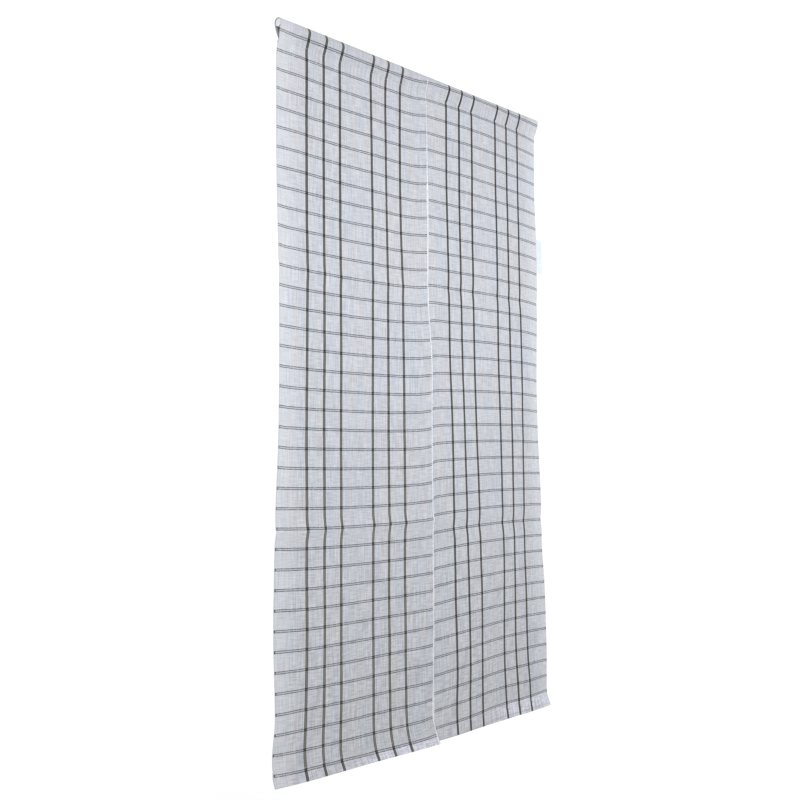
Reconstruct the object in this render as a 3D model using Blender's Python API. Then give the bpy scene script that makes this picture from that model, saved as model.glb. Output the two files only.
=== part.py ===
"""A two-panel noren curtain hanging on a plain round rod.

Metres, +Z up. The rod's axis lies along X through the origin, the front of the
cloth faces -Y, and the two panels meet at X = 0. Sizes below are in millimetres
and are turned into metres where the meshes are made.
"""

import math

import bpy

MM = 0.001

# The cloth of each panel
PANEL_WIDTH = 425.0
SHEET = 1.2
SEAM_GAP = 0.3
LAYER_GAP = 0.5
LAYER_SHIFT = SHEET + LAYER_GAP
HEM_Z = -1480.0
HEM_HEIGHT = 28.0

# The rod, which ends level with the cloth's outer edges
ROD_DIAMETER = 16.0
ROD_LENGTH = 848.0
ROD_SIDES = 24
CLEARANCE = 0.4

# The cloth is measured from a line just in front of the rod's axis and above it.
ROD_BACK = 2.0
ROD_DROP = 2.0

# The pocket lies on top of the rod, hangs loose in front of it and behind it,
# and draws in to its stitch line. Where it is looser its front sags lower. The
# end of its cloth is tucked in behind.
POCKET_RADIUS = ROD_DIAMETER / 2 + CLEARANCE + SHEET / 2
POCKET_TOP_Z = POCKET_RADIUS - ROD_DROP
POCKET_SAG = 1.2
POCKET_BACK = 11.2
POCKET_DRAW = 1.3
STITCH_Z = -35.0
TUCK = 7.0

# The label, sewn behind the right panel's outer edge
LABEL_THICKNESS = 0.8
LABEL_TOP_Z = -304.0
LABEL_HEIGHT = 86.0
LABEL_INSIDE = 8.0
LABEL_OUTSIDE = 26.0
LABEL_LEAN = 0.04

# How finely the sheets are divided
COLUMNS = 12
LEVEL_STEP = 68.0
LEAST_STEP = 15.0
ARC_STEPS = 12
BULGE_STEPS = 5
FOLD_STEPS = 4
HEM_STEPS = 3
LABEL_STEPS = 6

# A crease is sharp along its ridge and fades out softly above and below it.
CREASE_SHARPNESS = 1.5
# The most that a wave may draw in a strip of cloth, as a share of its width
LEAST_DRAWN = 0.7

# How far the cloth stands behind its measuring line, so that forward is negative.
# "across" names the columns and gives their distances from the panel's left edge.
# "pocket_front" gives how far forward of the line the pocket stands at each.
# A row of "hang" is the height z, then the cloth's place at each column.
# A crease is a packing fold: its height z, its rise and its half width.
LEFT_PANEL = {
    "name": "left_panel",
    "across": {
        "outer edge": 0.0,
        "first stripe": 71.5,
        "third stripe": 162.1,
        "fourth stripe": 252.9,
        "sixth stripe": 343.5,
        "inner edge": PANEL_WIDTH,
    },
    "pocket_front": (7.6, 11.3, 12.4, 10.8, 10.0, 9.8),
    "hang": (
        (-35, 0, 0, 0, 0, 0, 0),
        (-60, 5, -2, 0, 1, 1, -4),
        (-175, 6, -1, 0, 0, 3, -4),
        (-332, 5, 0, 1, -1, 3, -5),
        (-488, 0, -1, 1, -1, -2, -3),
        (-645, 2, 3, 2, 2, -2, -13),
        (-802, 5, 6, 4, 4, -2, -11),
        (-959, 16, 6, 5, 5, -2, -11),
        (-1076, 22, 8, 7, 6, 1, -10),
        (-1194, 26, 8, 8, 8, 1, -10),
        (-1351, 19, 12, 9, 8, 1, -6),
        (-1425, 29, 16, 12, 8, -1, -4),
        (-1460, 27, 14, 10, 3, -8, -14),
        (-1480, 20, 8, 1, -7, -17, -24),
    ),
    "creases": ((-487, -1.5, 26.0), (-998, -4.0, 26.0)),
}
RIGHT_PANEL = {
    "name": "right_panel",
    "across": {
        "inner edge": 0.0,
        "first stripe": 74.3,
        "third stripe": 164.9,
        "fourth stripe": 255.7,
        "sixth stripe": 346.3,
        "outer edge": PANEL_WIDTH,
    },
    "pocket_front": (9.8, 10.2, 9.3, 8.8, 7.9, 7.6),
    "hang": (
        (-35, 1, 5, 4, 4, 5, 5),
        (-44, -1, 0, -1, -1, 0, 4),
        (-60, -3, 2, 0, 1, 2, 7),
        (-197, -4, 3, 1, 1, 2, 7),
        (-314, -4, 2, 2, 0, 1, 4),
        (-471, -2, 0, 2, 0, 0, 5),
        (-628, -3, -1, 1, 0, -2, 9),
        (-785, -4, -6, -2, -3, -2, 9),
        (-941, -4, -7, -7, -5, -2, 4),
        (-1098, -3, -9, -10, -8, -2, 2),
        (-1177, -3, -9, -12, -7, -4, -3),
        (-1333, -5, -12, -11, -5, -6, -6),
        (-1412, -7, -9, -10, -7, -11, -5),
        (-1451, -7, -9, -10, -9, -13, -6),
        (-1480, -9, -11, -11, -13, -17, -16),
    ),
    "creases": ((-471, 1.8, 26.0), (-1018, 3.0, 30.0)),
}

# Colours of the materials, as linear red, green and blue, and their roughness
CLOTH_COLOUR = (0.44, 0.455, 0.49)
CLOTH_ROUGHNESS = 0.9
ROD_COLOUR = (0.74, 0.77, 0.78)
ROD_ROUGHNESS = 0.4
LABEL_COLOUR = (0.86, 0.87, 0.88)
LABEL_ROUGHNESS = 0.7

# The rod is smooth round its side and sharp at its ends.
SMOOTH_ANGLE = math.radians(40.0)


def clear_scene():
    """Remove every object, so that the model starts from an empty scene."""
    for thing in list(bpy.data.objects):
        bpy.data.objects.remove(thing, do_unlink=True)


def plain_material(name, colour, roughness):
    """A Principled material of one colour."""
    material = bpy.data.materials.new(name)
    material.use_nodes = True
    shader = material.node_tree.nodes["Principled BSDF"]
    shader.inputs["Base Color"].default_value = (*colour, 1.0)
    shader.inputs["Roughness"].default_value = roughness
    return material


def smooth(places, values, at):
    """The value at one place on a soft curve through the given ones."""
    last = len(places) - 1
    k = 0
    while k < last - 1 and at > places[k + 1]:
        k += 1
    step = places[k + 1] - places[k]
    t = min(1.0, max(0.0, (at - places[k]) / step))

    def slope(i):
        low = max(0, i - 1)
        high = min(last, i + 1)
        return (values[high] - values[low]) / (places[high] - places[low])

    rise = values[k + 1] - values[k]
    start = slope(k) * step
    end = slope(k + 1) * step
    cubic = start + end - 2 * rise
    square = 3 * rise - 2 * start - end
    return values[k] + start * t + square * t**2 + cubic * t**3


def columns_of(panel):
    """The distances across at which a panel's tables give the cloth's place."""
    return list(panel["across"].values())


def depth(panel, across, z):
    """How far the sheet's middle stands behind the measuring line at one point."""
    levels = panel["hang"]
    drops = [-row[0] for row in levels]
    here = [smooth(columns_of(panel), row[1:], across) for row in levels]
    y = smooth(drops, here, -z)
    for crease_z, rise, half_width in panel["creases"]:
        away = abs(z - crease_z) / half_width
        if away < 1.0:
            y += rise * (1.0 - away) ** CREASE_SHARPNESS
    return y


def sheet_levels(panel):
    """The heights at which a sheet is divided, from the hem up to the stitches."""
    hem_top = HEM_Z + HEM_HEIGHT
    heights = [row[0] for row in panel["hang"]]
    drop = STITCH_Z - LEVEL_STEP
    while drop > HEM_Z:
        heights.append(drop)
        drop -= LEVEL_STEP
    kept = [HEM_Z + HEM_HEIGHT * i / HEM_STEPS for i in range(HEM_STEPS + 1)]
    for z in sorted(heights):
        in_crease = any(abs(z - c[0]) < c[2] for c in panel["creases"])
        if z > hem_top + LEAST_STEP and z - kept[-1] > LEAST_STEP and not in_crease:
            kept.append(z)
    for crease_z, _rise, half_width in panel["creases"]:
        kept += [crease_z - half_width, crease_z, crease_z + half_width]
    return sorted(set(kept + [STITCH_Z]))


def unit(dy, dz):
    length = math.hypot(dy, dz)
    return dy / length, dz / length


def beside(line, shift):
    """The line moved sideways by shift, to the back where it runs upward."""
    moved = []
    for i, point in enumerate(line):
        before = line[max(0, i - 1)]
        after = line[min(len(line) - 1, i + 1)]
        ty, tz = unit(after[0] - before[0], after[1] - before[1])
        moved.append((point[0] + tz * shift, point[1] - ty * shift))
    return moved


def pocket_line(front, stitch_y):
    """The pocket's middle line, from just above its stitches, up the front, over
    the rod and down the back to the stitches again."""
    front_reach = front + ROD_BACK
    back_reach = POCKET_BACK - ROD_BACK
    front_z = -ROD_DROP - POCKET_SAG * (front_reach - POCKET_RADIUS)
    rising = []
    falling = []
    for i in range(BULGE_STEPS):
        drawn = (1 - i / BULGE_STEPS) ** POCKET_DRAW
        fore_z = STITCH_Z + (front_z - STITCH_Z) * i / BULGE_STEPS
        aft_z = STITCH_Z + (-ROD_DROP - STITCH_Z) * i / BULGE_STEPS
        back_y = POCKET_BACK * (1 - drawn) + (stitch_y + LAYER_SHIFT) * drawn
        rising.append((stitch_y * drawn - front * (1 - drawn), fore_z))
        falling.append((back_y, aft_z))
    over = []
    for i in range(ARC_STEPS + 1):
        turn = math.pi * i / ARC_STEPS
        reach, low = (front_reach, front_z) if turn < math.pi / 2 else (back_reach, -ROD_DROP)
        over.append((
            ROD_BACK - reach * math.cos(turn),
            low + (POCKET_TOP_Z - low) * math.sin(turn),
        ))
    return rising[1:] + over + falling[::-1]


def panel_line(panel, across):
    """The whole middle line of one panel at one distance across it: turned-up hem,
    bottom fold, hanging sheet, pocket, and the tuck behind the stitches."""
    hanging = [(depth(panel, across, z), z) for z in sheet_levels(panel)]
    hem_front = hanging[:HEM_STEPS + 1]
    hem_back = beside(hem_front, LAYER_SHIFT)
    ty, tz = unit(hem_front[1][0] - hem_front[0][0], hem_front[1][1] - hem_front[0][1])
    centre_y = (hem_front[0][0] + hem_back[0][0]) / 2
    centre_z = (hem_front[0][1] + hem_back[0][1]) / 2
    radius = LAYER_SHIFT / 2
    fold = []
    for i in range(1, FOLD_STEPS):
        turn = math.pi * i / FOLD_STEPS
        sideways = radius * math.cos(turn)
        down = radius * math.sin(turn)
        fold.append((
            centre_y + tz * sideways - ty * down,
            centre_z - ty * sideways - tz * down,
        ))
    pocket_front = smooth(columns_of(panel), panel["pocket_front"], across)
    tuck_heights = (STITCH_Z - TUCK / 2, STITCH_Z - TUCK)
    tuck = [(depth(panel, across, z) + LAYER_SHIFT, z) for z in tuck_heights]
    pocket = pocket_line(pocket_front, hanging[-1][0])
    return hem_back[::-1] + fold + hanging + pocket + tuck


def placed_across(panel, lines, distances):
    """Where each point lies along X, keeping the cloth's own width: the sheet
    draws in where it waves. The edge at the middle seam stays put."""
    left_side = panel["name"] == "left_panel"
    order = range(len(distances) - 1, -1, -1) if left_side else range(len(distances))
    sign = -1 if left_side else 1
    xs = [None] * len(distances)
    previous = None
    for i in order:
        row = []
        for j, point in enumerate(lines[i]):
            if previous is None:
                row.append(sign * SEAM_GAP / 2)
                continue
            width = abs(distances[i] - distances[previous])
            wave = point[0] - lines[previous][j][0]
            drawn = math.sqrt(max(width**2 - wave**2, (LEAST_DRAWN * width) ** 2))
            row.append(xs[previous][j] + sign * drawn)
        xs[i] = row
        previous = i
    return xs


def skin(rows_front, rows_back, name, material):
    """One closed body from two matching grids of points, with walls round the rim.
    The points are moved from the cloth's measuring line to the rod's axis."""
    columns = len(rows_front)
    length = len(rows_front[0])
    points = []
    for grid in (rows_front, rows_back):
        for row in grid:
            points += [(x * MM, (y - ROD_BACK) * MM, (z + ROD_DROP) * MM) for x, y, z in row]

    def at(side, i, j):
        return side * columns * length + i * length + j

    faces = []
    for i in range(columns - 1):
        for j in range(length - 1):
            faces.append((at(0, i, j), at(0, i + 1, j), at(0, i + 1, j + 1), at(0, i, j + 1)))
            faces.append((at(1, i, j), at(1, i, j + 1), at(1, i + 1, j + 1), at(1, i + 1, j)))
    for j in range(length - 1):
        last = columns - 1
        faces.append((at(0, 0, j), at(0, 0, j + 1), at(1, 0, j + 1), at(1, 0, j)))
        faces.append((at(0, last, j), at(1, last, j), at(1, last, j + 1), at(0, last, j + 1)))
    for i in range(columns - 1):
        last = length - 1
        faces.append((at(0, i, 0), at(1, i, 0), at(1, i + 1, 0), at(0, i + 1, 0)))
        faces.append((at(0, i, last), at(0, i + 1, last), at(1, i + 1, last), at(1, i, last)))
    mesh = bpy.data.meshes.new(name)
    mesh.from_pydata(points, [], faces)
    mesh.validate()
    mesh.shade_smooth()
    mesh.materials.append(material)
    body = bpy.data.objects.new(name, mesh)
    bpy.context.scene.collection.objects.link(body)
    return body


def make_panel(panel, material):
    """One panel as a closed sheet that follows its middle line at every column."""
    distances = [PANEL_WIDTH * i / COLUMNS for i in range(COLUMNS + 1)]
    lines = [panel_line(panel, across) for across in distances]
    xs = placed_across(panel, lines, distances)
    front = []
    back = []
    for i, line in enumerate(lines):
        fore = beside(line, -SHEET / 2)
        aft = beside(line, SHEET / 2)
        front.append([(xs[i][j], p[0], p[1]) for j, p in enumerate(fore)])
        back.append([(xs[i][j], p[0], p[1]) for j, p in enumerate(aft)])
    return skin(front, back, panel["name"], material)


def make_rod(material):
    """A plain round rod along X, a little shorter than the cloth is wide."""
    bpy.ops.mesh.primitive_cylinder_add(
        vertices=ROD_SIDES,
        radius=ROD_DIAMETER / 2 * MM,
        depth=ROD_LENGTH * MM,
        end_fill_type="NGON",
        location=(0.0, 0.0, 0.0),
        rotation=(0.0, math.pi / 2, 0.0),
    )
    rod = bpy.context.active_object
    rod.name = "rod"
    rod.data.name = "rod"
    rod.data.shade_smooth()
    rod.data.set_sharp_from_angle(angle=SMOOTH_ANGLE)
    rod.data.materials.append(material)
    return rod


def make_label(material):
    """A bare sewn label: a small flat strip behind the right panel's outer edge,
    following the edge down and standing out beyond it."""
    edge_x = PANEL_WIDTH + SEAM_GAP / 2
    behind = SHEET / 2 + CLEARANCE + LABEL_THICKNESS / 2
    front = []
    back = []
    for place in (-LABEL_INSIDE, 0.0, LABEL_OUTSIDE / 2, LABEL_OUTSIDE):
        fore = []
        aft = []
        for j in range(LABEL_STEPS + 1):
            z = LABEL_TOP_Z - LABEL_HEIGHT + LABEL_HEIGHT * j / LABEL_STEPS
            across = PANEL_WIDTH + min(place, 0.0)
            y = depth(RIGHT_PANEL, across, z) + behind + LABEL_LEAN * max(place, 0.0)
            fore.append((edge_x + place, y - LABEL_THICKNESS / 2, z))
            aft.append((edge_x + place, y + LABEL_THICKNESS / 2, z))
        front.append(fore)
        back.append(aft)
    return skin(front, back, "label", material)


def main():
    clear_scene()
    cloth = plain_material("check_cloth", CLOTH_COLOUR, CLOTH_ROUGHNESS)
    make_panel(LEFT_PANEL, cloth)
    make_panel(RIGHT_PANEL, cloth)
    make_rod(plain_material("rod_finish", ROD_COLOUR, ROD_ROUGHNESS))
    make_label(plain_material("label_ribbon", LABEL_COLOUR, LABEL_ROUGHNESS))


main()
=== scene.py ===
import math

import bpy
from mathutils import Matrix, Vector, noise


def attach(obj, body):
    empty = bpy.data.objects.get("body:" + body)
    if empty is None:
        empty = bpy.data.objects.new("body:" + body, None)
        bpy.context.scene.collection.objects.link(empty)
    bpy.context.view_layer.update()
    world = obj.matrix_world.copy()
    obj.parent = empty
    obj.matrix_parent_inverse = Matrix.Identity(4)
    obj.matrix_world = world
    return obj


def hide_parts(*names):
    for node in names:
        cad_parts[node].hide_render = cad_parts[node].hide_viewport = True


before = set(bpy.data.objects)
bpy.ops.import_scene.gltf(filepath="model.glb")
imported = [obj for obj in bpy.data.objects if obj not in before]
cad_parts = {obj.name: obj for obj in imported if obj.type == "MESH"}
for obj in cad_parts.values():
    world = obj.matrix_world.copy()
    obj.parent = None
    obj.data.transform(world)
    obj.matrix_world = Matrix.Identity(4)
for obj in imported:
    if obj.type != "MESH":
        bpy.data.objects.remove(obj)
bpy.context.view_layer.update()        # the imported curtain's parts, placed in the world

# The camera.
# It stands close on the curtain's left, a little below the middle of its height, and
# looks across both panels through a lens of about 44 mm, as in the photograph.
CAMERA_PLACE = (-1.6068, -1.4534, -0.8385)
CAMERA_HEADING = -46.23
CAMERA_TILT = 92.93
CAMERA_ROLL = -0.587
CAMERA_LENS = 43.66
CAMERA_SENSOR = 36.0

camera_data = bpy.data.cameras.new("camera")
camera_data.lens = CAMERA_LENS
camera_data.sensor_width = CAMERA_SENSOR
camera = bpy.data.objects.new("camera", camera_data)
camera.matrix_world = (
    Matrix.Translation(CAMERA_PLACE)
    @ Matrix.Rotation(math.radians(CAMERA_HEADING), 4, "Z")
    @ Matrix.Rotation(math.radians(CAMERA_TILT), 4, "X")
    @ Matrix.Rotation(math.radians(CAMERA_ROLL), 4, "Z")
)
bpy.context.scene.collection.objects.link(camera)
bpy.context.scene.camera = camera


# The two cloth panels.
# Each is one width of handloom linen and cotton with selvedges and a woven check. Its
# top is folded back and sewn as a pocket for the rod, and its bottom is sewn as a hem.
MM = 0.001
PANEL_WIDTH = 425.0
CLOTH = 0.7
LAYER_SHIFT = 1.7
SEAM_GAP = 0.3
HEM_Z = -1480.0
HEM_HEIGHT = 28.0
ROD_BACK = 2.0
ROD_DROP = 2.0
POCKET_RADIUS = 9.0
POCKET_TOP_Z = POCKET_RADIUS - ROD_DROP
POCKET_SAG = 1.2
POCKET_BACK = 11.2
POCKET_DRAW = 1.3
STITCH_Z = -35.0
HEM_STITCH_Z = -1455.0
TUCK = 7.0
LEAST_DRAWN = 0.7

# The check: a row is a pair of thin lines, and every fourth stripe is left out.
ROW_PITCH = 39.2
STRIPE_PITCH = 45.33

# Distances in millimetres, from a line just in front of the rod's axis and above
# it. "across" runs from the panel's left edge, and a row of "hang" is a height,
# then how far the cloth stands behind the line at each. A crease is a packing fold:
# its height, its rise and its half width. A row of "row_sag" is a check row's
# number, then how far it sags at each "sag_across".
MEASURING_LINE = (0.0, -ROD_BACK, ROD_DROP)
LEFT_PANEL = {
    "name": "left_panel",
    "across": (0.0, 71.5, 162.1, 252.9, 343.5, PANEL_WIDTH),
    "pocket_front": (7.6, 11.3, 12.4, 10.8, 10.0, 9.8),
    "hang": (
        (-35, 0, 0, 0, 0, 0, 0),
        (-60, 6.5, -1, 0, 1, 1, -4),
        (-175, 8, 0.5, 0.5, 0, 3, -4),
        (-332, 7, 1.5, 1.5, -1, 3, -5),
        (-488, 1, -0.5, 1, -1, -2, -3),
        (-645, 2, 3, 2, 2, -2, -13),
        (-802, 5, 6, 4, 4, -2, -11),
        (-959, 16, 6, 5, 5, -2, -11),
        (-1076, 22, 8, 7, 6, 1, -10),
        (-1194, 26, 8, 8, 8, 1, -10),
        (-1351, 19, 12, 9, 8, 1, -6),
        (-1425, 29, 16, 12, 8, -1, -4),
        (-1460, 27, 14, 10, 3, -8, -14),
        (-1480, 20, 8, 1, -7, -17, -24),
    ),
    "creases": ((-487, -1.5, 26.0), (-998, -4.0, 26.0)),
    "fade": (0.3, 0.75),
    "first_stripe": 71.5,
    "first_row": 16.5,
    "sag_across": (0.0, 25.0, 94.0, 207.0, 321.0, 390.0, PANEL_WIDTH),
    "row_sag": (
        (0, 2.0, 3.7, 3.9, 4.1, 2.1, -0.6, -6.0),
        (1, -1.0, 0.7, 2.8, 1.4, -0.4, -2.2, -7.0),
        (3, -4.5, -2.1, 0.6, -0.5, -2.0, -3.6, -10.0),
        (6, -5.0, -4.4, -1.6, -1.0, -3.0, -4.4, -9.0),
        (10, -7.0, -4.0, -2.2, -1.3, -1.9, -5.3, -10.0),
        (14, -6.5, -4.9, -2.4, -1.0, -1.8, -4.5, -8.5),
        (20, -6.8, -4.6, -2.4, -0.5, 0.0, -2.0, -6.0),
        (25, -6.6, -5.0, -2.2, 0.9, 1.2, -0.6, -3.0),
        (30, -5.8, -5.0, -2.6, 0.0, 1.1, -0.4, -1.7),
        (33, -6.6, -5.9, -4.3, 0.0, 0.5, 0.9, 0.4),
        (36, -7.6, -6.4, -5.0, -1.1, 0.0, 1.0, -0.8),
        (37, -8.8, -7.4, -6.3, -2.9, -2.2, -2.4, -4.0),
    ),
}
RIGHT_PANEL = {
    "name": "right_panel",
    "across": (0.0, 74.3, 164.9, 255.7, 346.3, PANEL_WIDTH),
    "pocket_front": (9.8, 10.2, 9.3, 8.8, 7.9, 7.6),
    "hang": (
        (-35, 1, 3.6, 2.8, 2.8, 3.6, 5),
        (-44, -1, 1.6, 0.4, 0.6, 1.6, 5),
        (-60, -3, 1.5, 0, 0.5, 1.6, 6),
        (-197, -4, 3, 1, 1, 2, 7),
        (-314, -4, 2, 2, 0, 1, 4),
        (-471, -2, 0, 2, 0, 0, 5),
        (-628, -3, -1, 1, 0, -2, 9),
        (-785, -4, -6, -2, -3, -2, 9),
        (-941, -4, -7, -7, -5, -2, 4),
        (-1098, -3, -9, -10, -8, -2, 2),
        (-1177, -3, -9, -12, -7, -4, -3),
        (-1333, -3, -12, -11, -5, -6, -6),
        (-1412, -3.5, -9, -10, -7, -11, -5),
        (-1451, -4, -9, -10, -9, -13, -6),
        (-1480, -7, -11, -11, -13, -17, -16),
    ),
    "creases": ((-471, 1.8, 26.0), (-1018, 3.0, 30.0)),
    "fade": (0.05, 0.25),
    "first_stripe": 74.3,
    "first_row": -0.8,
    "sag_across": (0.0, 20.0, 97.0, 210.0, 324.0, 390.0, PANEL_WIDTH),
    "row_sag": (
        (0, 12.0, 10.3, 7.5, 6.2, 8.5, 9.9, 10.4),
        (1, 10.0, 8.2, 4.2, 2.6, 5.3, 7.5, 11.0),
        (3, 7.8, 6.2, 1.8, 1.0, 3.0, 4.0, 5.7),
        (6, 7.0, 4.8, 0.6, 0.8, 1.8, 2.8, 4.8),
        (8, 3.3, 2.4, -0.1, -1.3, 0.0, 2.0, 4.0),
        (13, 2.8, 0.9, 0.2, -1.6, -0.4, 0.9, 3.5),
        (15, 9.0, 3.6, 1.5, -1.3, 0.0, 1.1, 3.5),
        (20, 9.5, 4.6, 1.6, -0.5, 0.0, 1.6, 2.8),
        (25, 11.5, 6.5, 2.3, -0.5, 0.3, 1.5, 3.2),
        (30, 9.0, 7.2, 1.5, -1.0, -1.3, -0.3, 1.3),
        (33, 8.5, 6.3, 0.9, -2.5, -2.6, -1.8, 0.0),
        (36, 6.0, 3.8, 0.0, -3.6, -2.8, -2.8, -1.2),
        (37, 3.5, 2.1, 0.6, -5.0, -4.8, -5.0, -3.0),
    ),
}

# How finely the sheets are divided
COLUMN_STEP = 5.0
LEVEL_STEP = 5.5
LINE_STEPS = (-5.0, -2.5, -1.0, 0.0, 1.0, 2.5, 5.0)
BULGE_STEPS = 9
ARC_STEPS = 26
FOLD_STEPS = 6

# The small relief of the cloth. A wave has its height, its width and its length,
# RIPPLE_SHIFT keeps the fine waves apart from the slow ones, and POCKET_CALM is the
# share of them that is left over the rod. A line of stitches draws up puckers of a
# height, a pitch and a reach, which drift along the line by so many radians over a
# length, and its thread lies in a furrow of a depth and a reach.
WAVE = (0.55, 75.0, 120.0)
RIPPLE = (0.22, 24.0, 38.0)
RIPPLE_SHIFT = 9.0
POCKET_CALM = 0.35
PUCKER = (0.28, 8.5, 7.0)
PUCKER_DRIFT = (3.0, 30.0)
FURROW = (0.3, 1.6)
FURROW_BELOW = 0.8

# How sharply a crease rises to its ridge, and how round the ridge is
CREASE_SHARPNESS = 1.5
CREASE_ROUND = 1.2

# The sheet leaves the pocket's stitches in a soft bend, this deep and this long
STITCH_ROUND = 1.3
STITCH_REACH = 12.0


def smooth(places, values, at):
    """The value at one place on a soft curve through the given ones."""
    last = len(places) - 1
    k = 0
    while k < last - 1 and at > places[k + 1]:
        k += 1
    step = places[k + 1] - places[k]
    t = min(1.0, max(0.0, (at - places[k]) / step))

    def slope(i):
        low = max(0, i - 1)
        high = min(last, i + 1)
        return (values[high] - values[low]) / (places[high] - places[low])

    rise = values[k + 1] - values[k]
    start = slope(k) * step
    end = slope(k + 1) * step
    cubic = start + end - 2 * rise
    square = 3 * rise - 2 * start - end
    return values[k] + start * t + square * t**2 + cubic * t**3


def spread(start, end, most):
    """Even places from start to end, no further apart than most."""
    count = math.ceil(abs(end - start) / most)
    return [start + (end - start) * i / count for i in range(count + 1)]


def hang_at(panel, across):
    """A function of height: how far the sheet stands behind the line at across."""
    drops = [-row[0] for row in panel["hang"]]
    here = [smooth(panel["across"], row[1:], across) for row in panel["hang"]]

    def depth(z):
        y = smooth(drops, here, -z)
        for crease_z, rise, half_width in panel["creases"]:
            away = math.hypot(z - crease_z, CREASE_ROUND) / half_width
            if away < 1.0:
                y += rise * (1.0 - away) ** CREASE_SHARPNESS
        rounding = max(0.0, 1.0 - (STITCH_Z - z) / STITCH_REACH)
        return y - STITCH_ROUND * rounding**2

    return depth


def relief_at(panel, across, z):
    """The cloth's small unevenness at one point, to the back."""
    seed = panel["first_row"]
    high, wide, long = WAVE
    relief = high * noise.noise(Vector((across / wide, z / long, seed)))
    high, wide, long = RIPPLE
    relief += high * noise.noise(Vector((across / wide, z / long, seed + RIPPLE_SHIFT)))
    if z > STITCH_Z:
        calm = min(1.0, (z - STITCH_Z) / (-ROD_DROP - STITCH_Z))
        relief *= 1.0 + (POCKET_CALM - 1.0) * calm
    for line_z in (STITCH_Z, HEM_STITCH_Z):
        away = abs(z - line_z)
        drift, long = PUCKER_DRIFT
        drift *= noise.noise(Vector((across / long, seed, line_z)))
        high, pitch, reach = PUCKER
        relief += high * math.sin(math.tau * across / pitch + drift) * math.exp(-away / reach)
        high, reach = FURROW
        relief += high * math.exp(-((away / reach) ** 2)) * (1.0 if z > line_z else FURROW_BELOW)
    return relief


def hanging_levels():
    """The heights at which the hanging sheet is divided, close together at the
    stitch lines and the creases."""
    levels = spread(HEM_Z, STITCH_Z, LEVEL_STEP)
    lines = [HEM_STITCH_Z, STITCH_Z]
    lines += [crease[0] for panel in (LEFT_PANEL, RIGHT_PANEL) for crease in panel["creases"]]
    close = LINE_STEPS[-1] + LEVEL_STEP / 2
    levels = [z for z in levels if all(abs(z - line) > close for line in lines)]
    levels += [line + step for line in lines for step in LINE_STEPS if line + step <= STITCH_Z]
    return sorted(set(levels + [HEM_Z]))


def tangents(line):
    """The unit direction of a line at each of its points."""
    found = []
    for i in range(len(line)):
        before = line[max(0, i - 1)]
        after = line[min(len(line) - 1, i + 1)]
        dy = after[0] - before[0]
        dz = after[1] - before[1]
        length = math.hypot(dy, dz)
        found.append((dy / length, dz / length))
    return found


def beside(line, shifts):
    """The line moved sideways by its shifts, to the back where it runs upward."""
    moved = []
    for point, (ty, tz), shift in zip(line, tangents(line), shifts):
        moved.append((point[0] + tz * shift, point[1] - ty * shift))
    return moved


def pocket_line(front, stitch_y):
    """The pocket's line in two parts: from above the stitches up its front, then
    over the rod and down the back to the stitches again. Where the pocket is
    looser its front sags lower."""
    front_reach = front + ROD_BACK
    back_reach = POCKET_BACK - ROD_BACK
    front_z = -ROD_DROP - POCKET_SAG * (front_reach - POCKET_RADIUS)
    rising = []
    falling = []
    for i in range(BULGE_STEPS):
        drawn = (1 - i / BULGE_STEPS) ** POCKET_DRAW
        fore_z = STITCH_Z + (front_z - STITCH_Z) * i / BULGE_STEPS
        aft_z = STITCH_Z + (-ROD_DROP - STITCH_Z) * i / BULGE_STEPS
        back_y = POCKET_BACK * (1 - drawn) + (stitch_y + LAYER_SHIFT) * drawn
        rising.append((stitch_y * drawn - front * (1 - drawn), fore_z))
        falling.append((back_y, aft_z))
    over = []
    for i in range(ARC_STEPS + 1):
        turn = math.pi * i / ARC_STEPS
        reach, low = (front_reach, front_z) if turn < math.pi / 2 else (back_reach, -ROD_DROP)
        over.append((ROD_BACK - reach * math.cos(turn), low + (POCKET_TOP_Z - low) * math.sin(turn)))
    return rising[1:], over + falling[::-1]


def lengths_along(line, start):
    """The length of cloth from a start point to each point of a line."""
    total = 0.0
    lengths = []
    for point in line:
        total += math.hypot(point[0] - start[0], point[1] - start[1])
        lengths.append(total)
        start = point
    return lengths


def panel_line(panel, across, levels):
    """The panel's middle line at one distance across: a list of points in Y and Z
    from the hem's top at the back to the end of the tuck, and how far down the
    cloth each point lies."""
    depth = hang_at(panel, across)
    hanging = [(depth(z), z) for z in levels]
    hem_top = HEM_Z + HEM_HEIGHT
    hem_front = [point for point in hanging if point[1] <= hem_top]
    hem_back = beside(hem_front, [LAYER_SHIFT] * len(hem_front))
    fold = []
    ty, tz = tangents(hem_front)[0]
    radius = LAYER_SHIFT / 2
    centre_y = (hem_front[0][0] + hem_back[0][0]) / 2
    centre_z = (hem_front[0][1] + hem_back[0][1]) / 2
    for i in range(1, FOLD_STEPS):
        turn = math.pi * i / FOLD_STEPS
        sideways = radius * math.cos(turn)
        down = radius * math.sin(turn)
        fold.append((centre_y + tz * sideways - ty * down, centre_z - ty * sideways - tz * down))
    turned_up = fold[::-1] + hem_back
    front = smooth(panel["across"], panel["pocket_front"], across)
    pocket_rise, over = pocket_line(front, depth(STITCH_Z))
    rising = hanging + pocket_rise
    over += [(depth(z) + LAYER_SHIFT, z) for z in (STITCH_Z - TUCK / 2, STITCH_Z - TUCK)]
    drops = [-HEM_Z + s for s in lengths_along(turned_up, hanging[0])][::-1]
    drops += [-z for _y, z in rising]
    drops += [-over[0][1] - s for s in lengths_along(over, over[0])]
    line = turned_up[::-1] + rising + over
    shifts = [relief_at(panel, across, p[1]) * t[1] for p, t in zip(line, tangents(line))]
    return beside(line, shifts), drops


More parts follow.
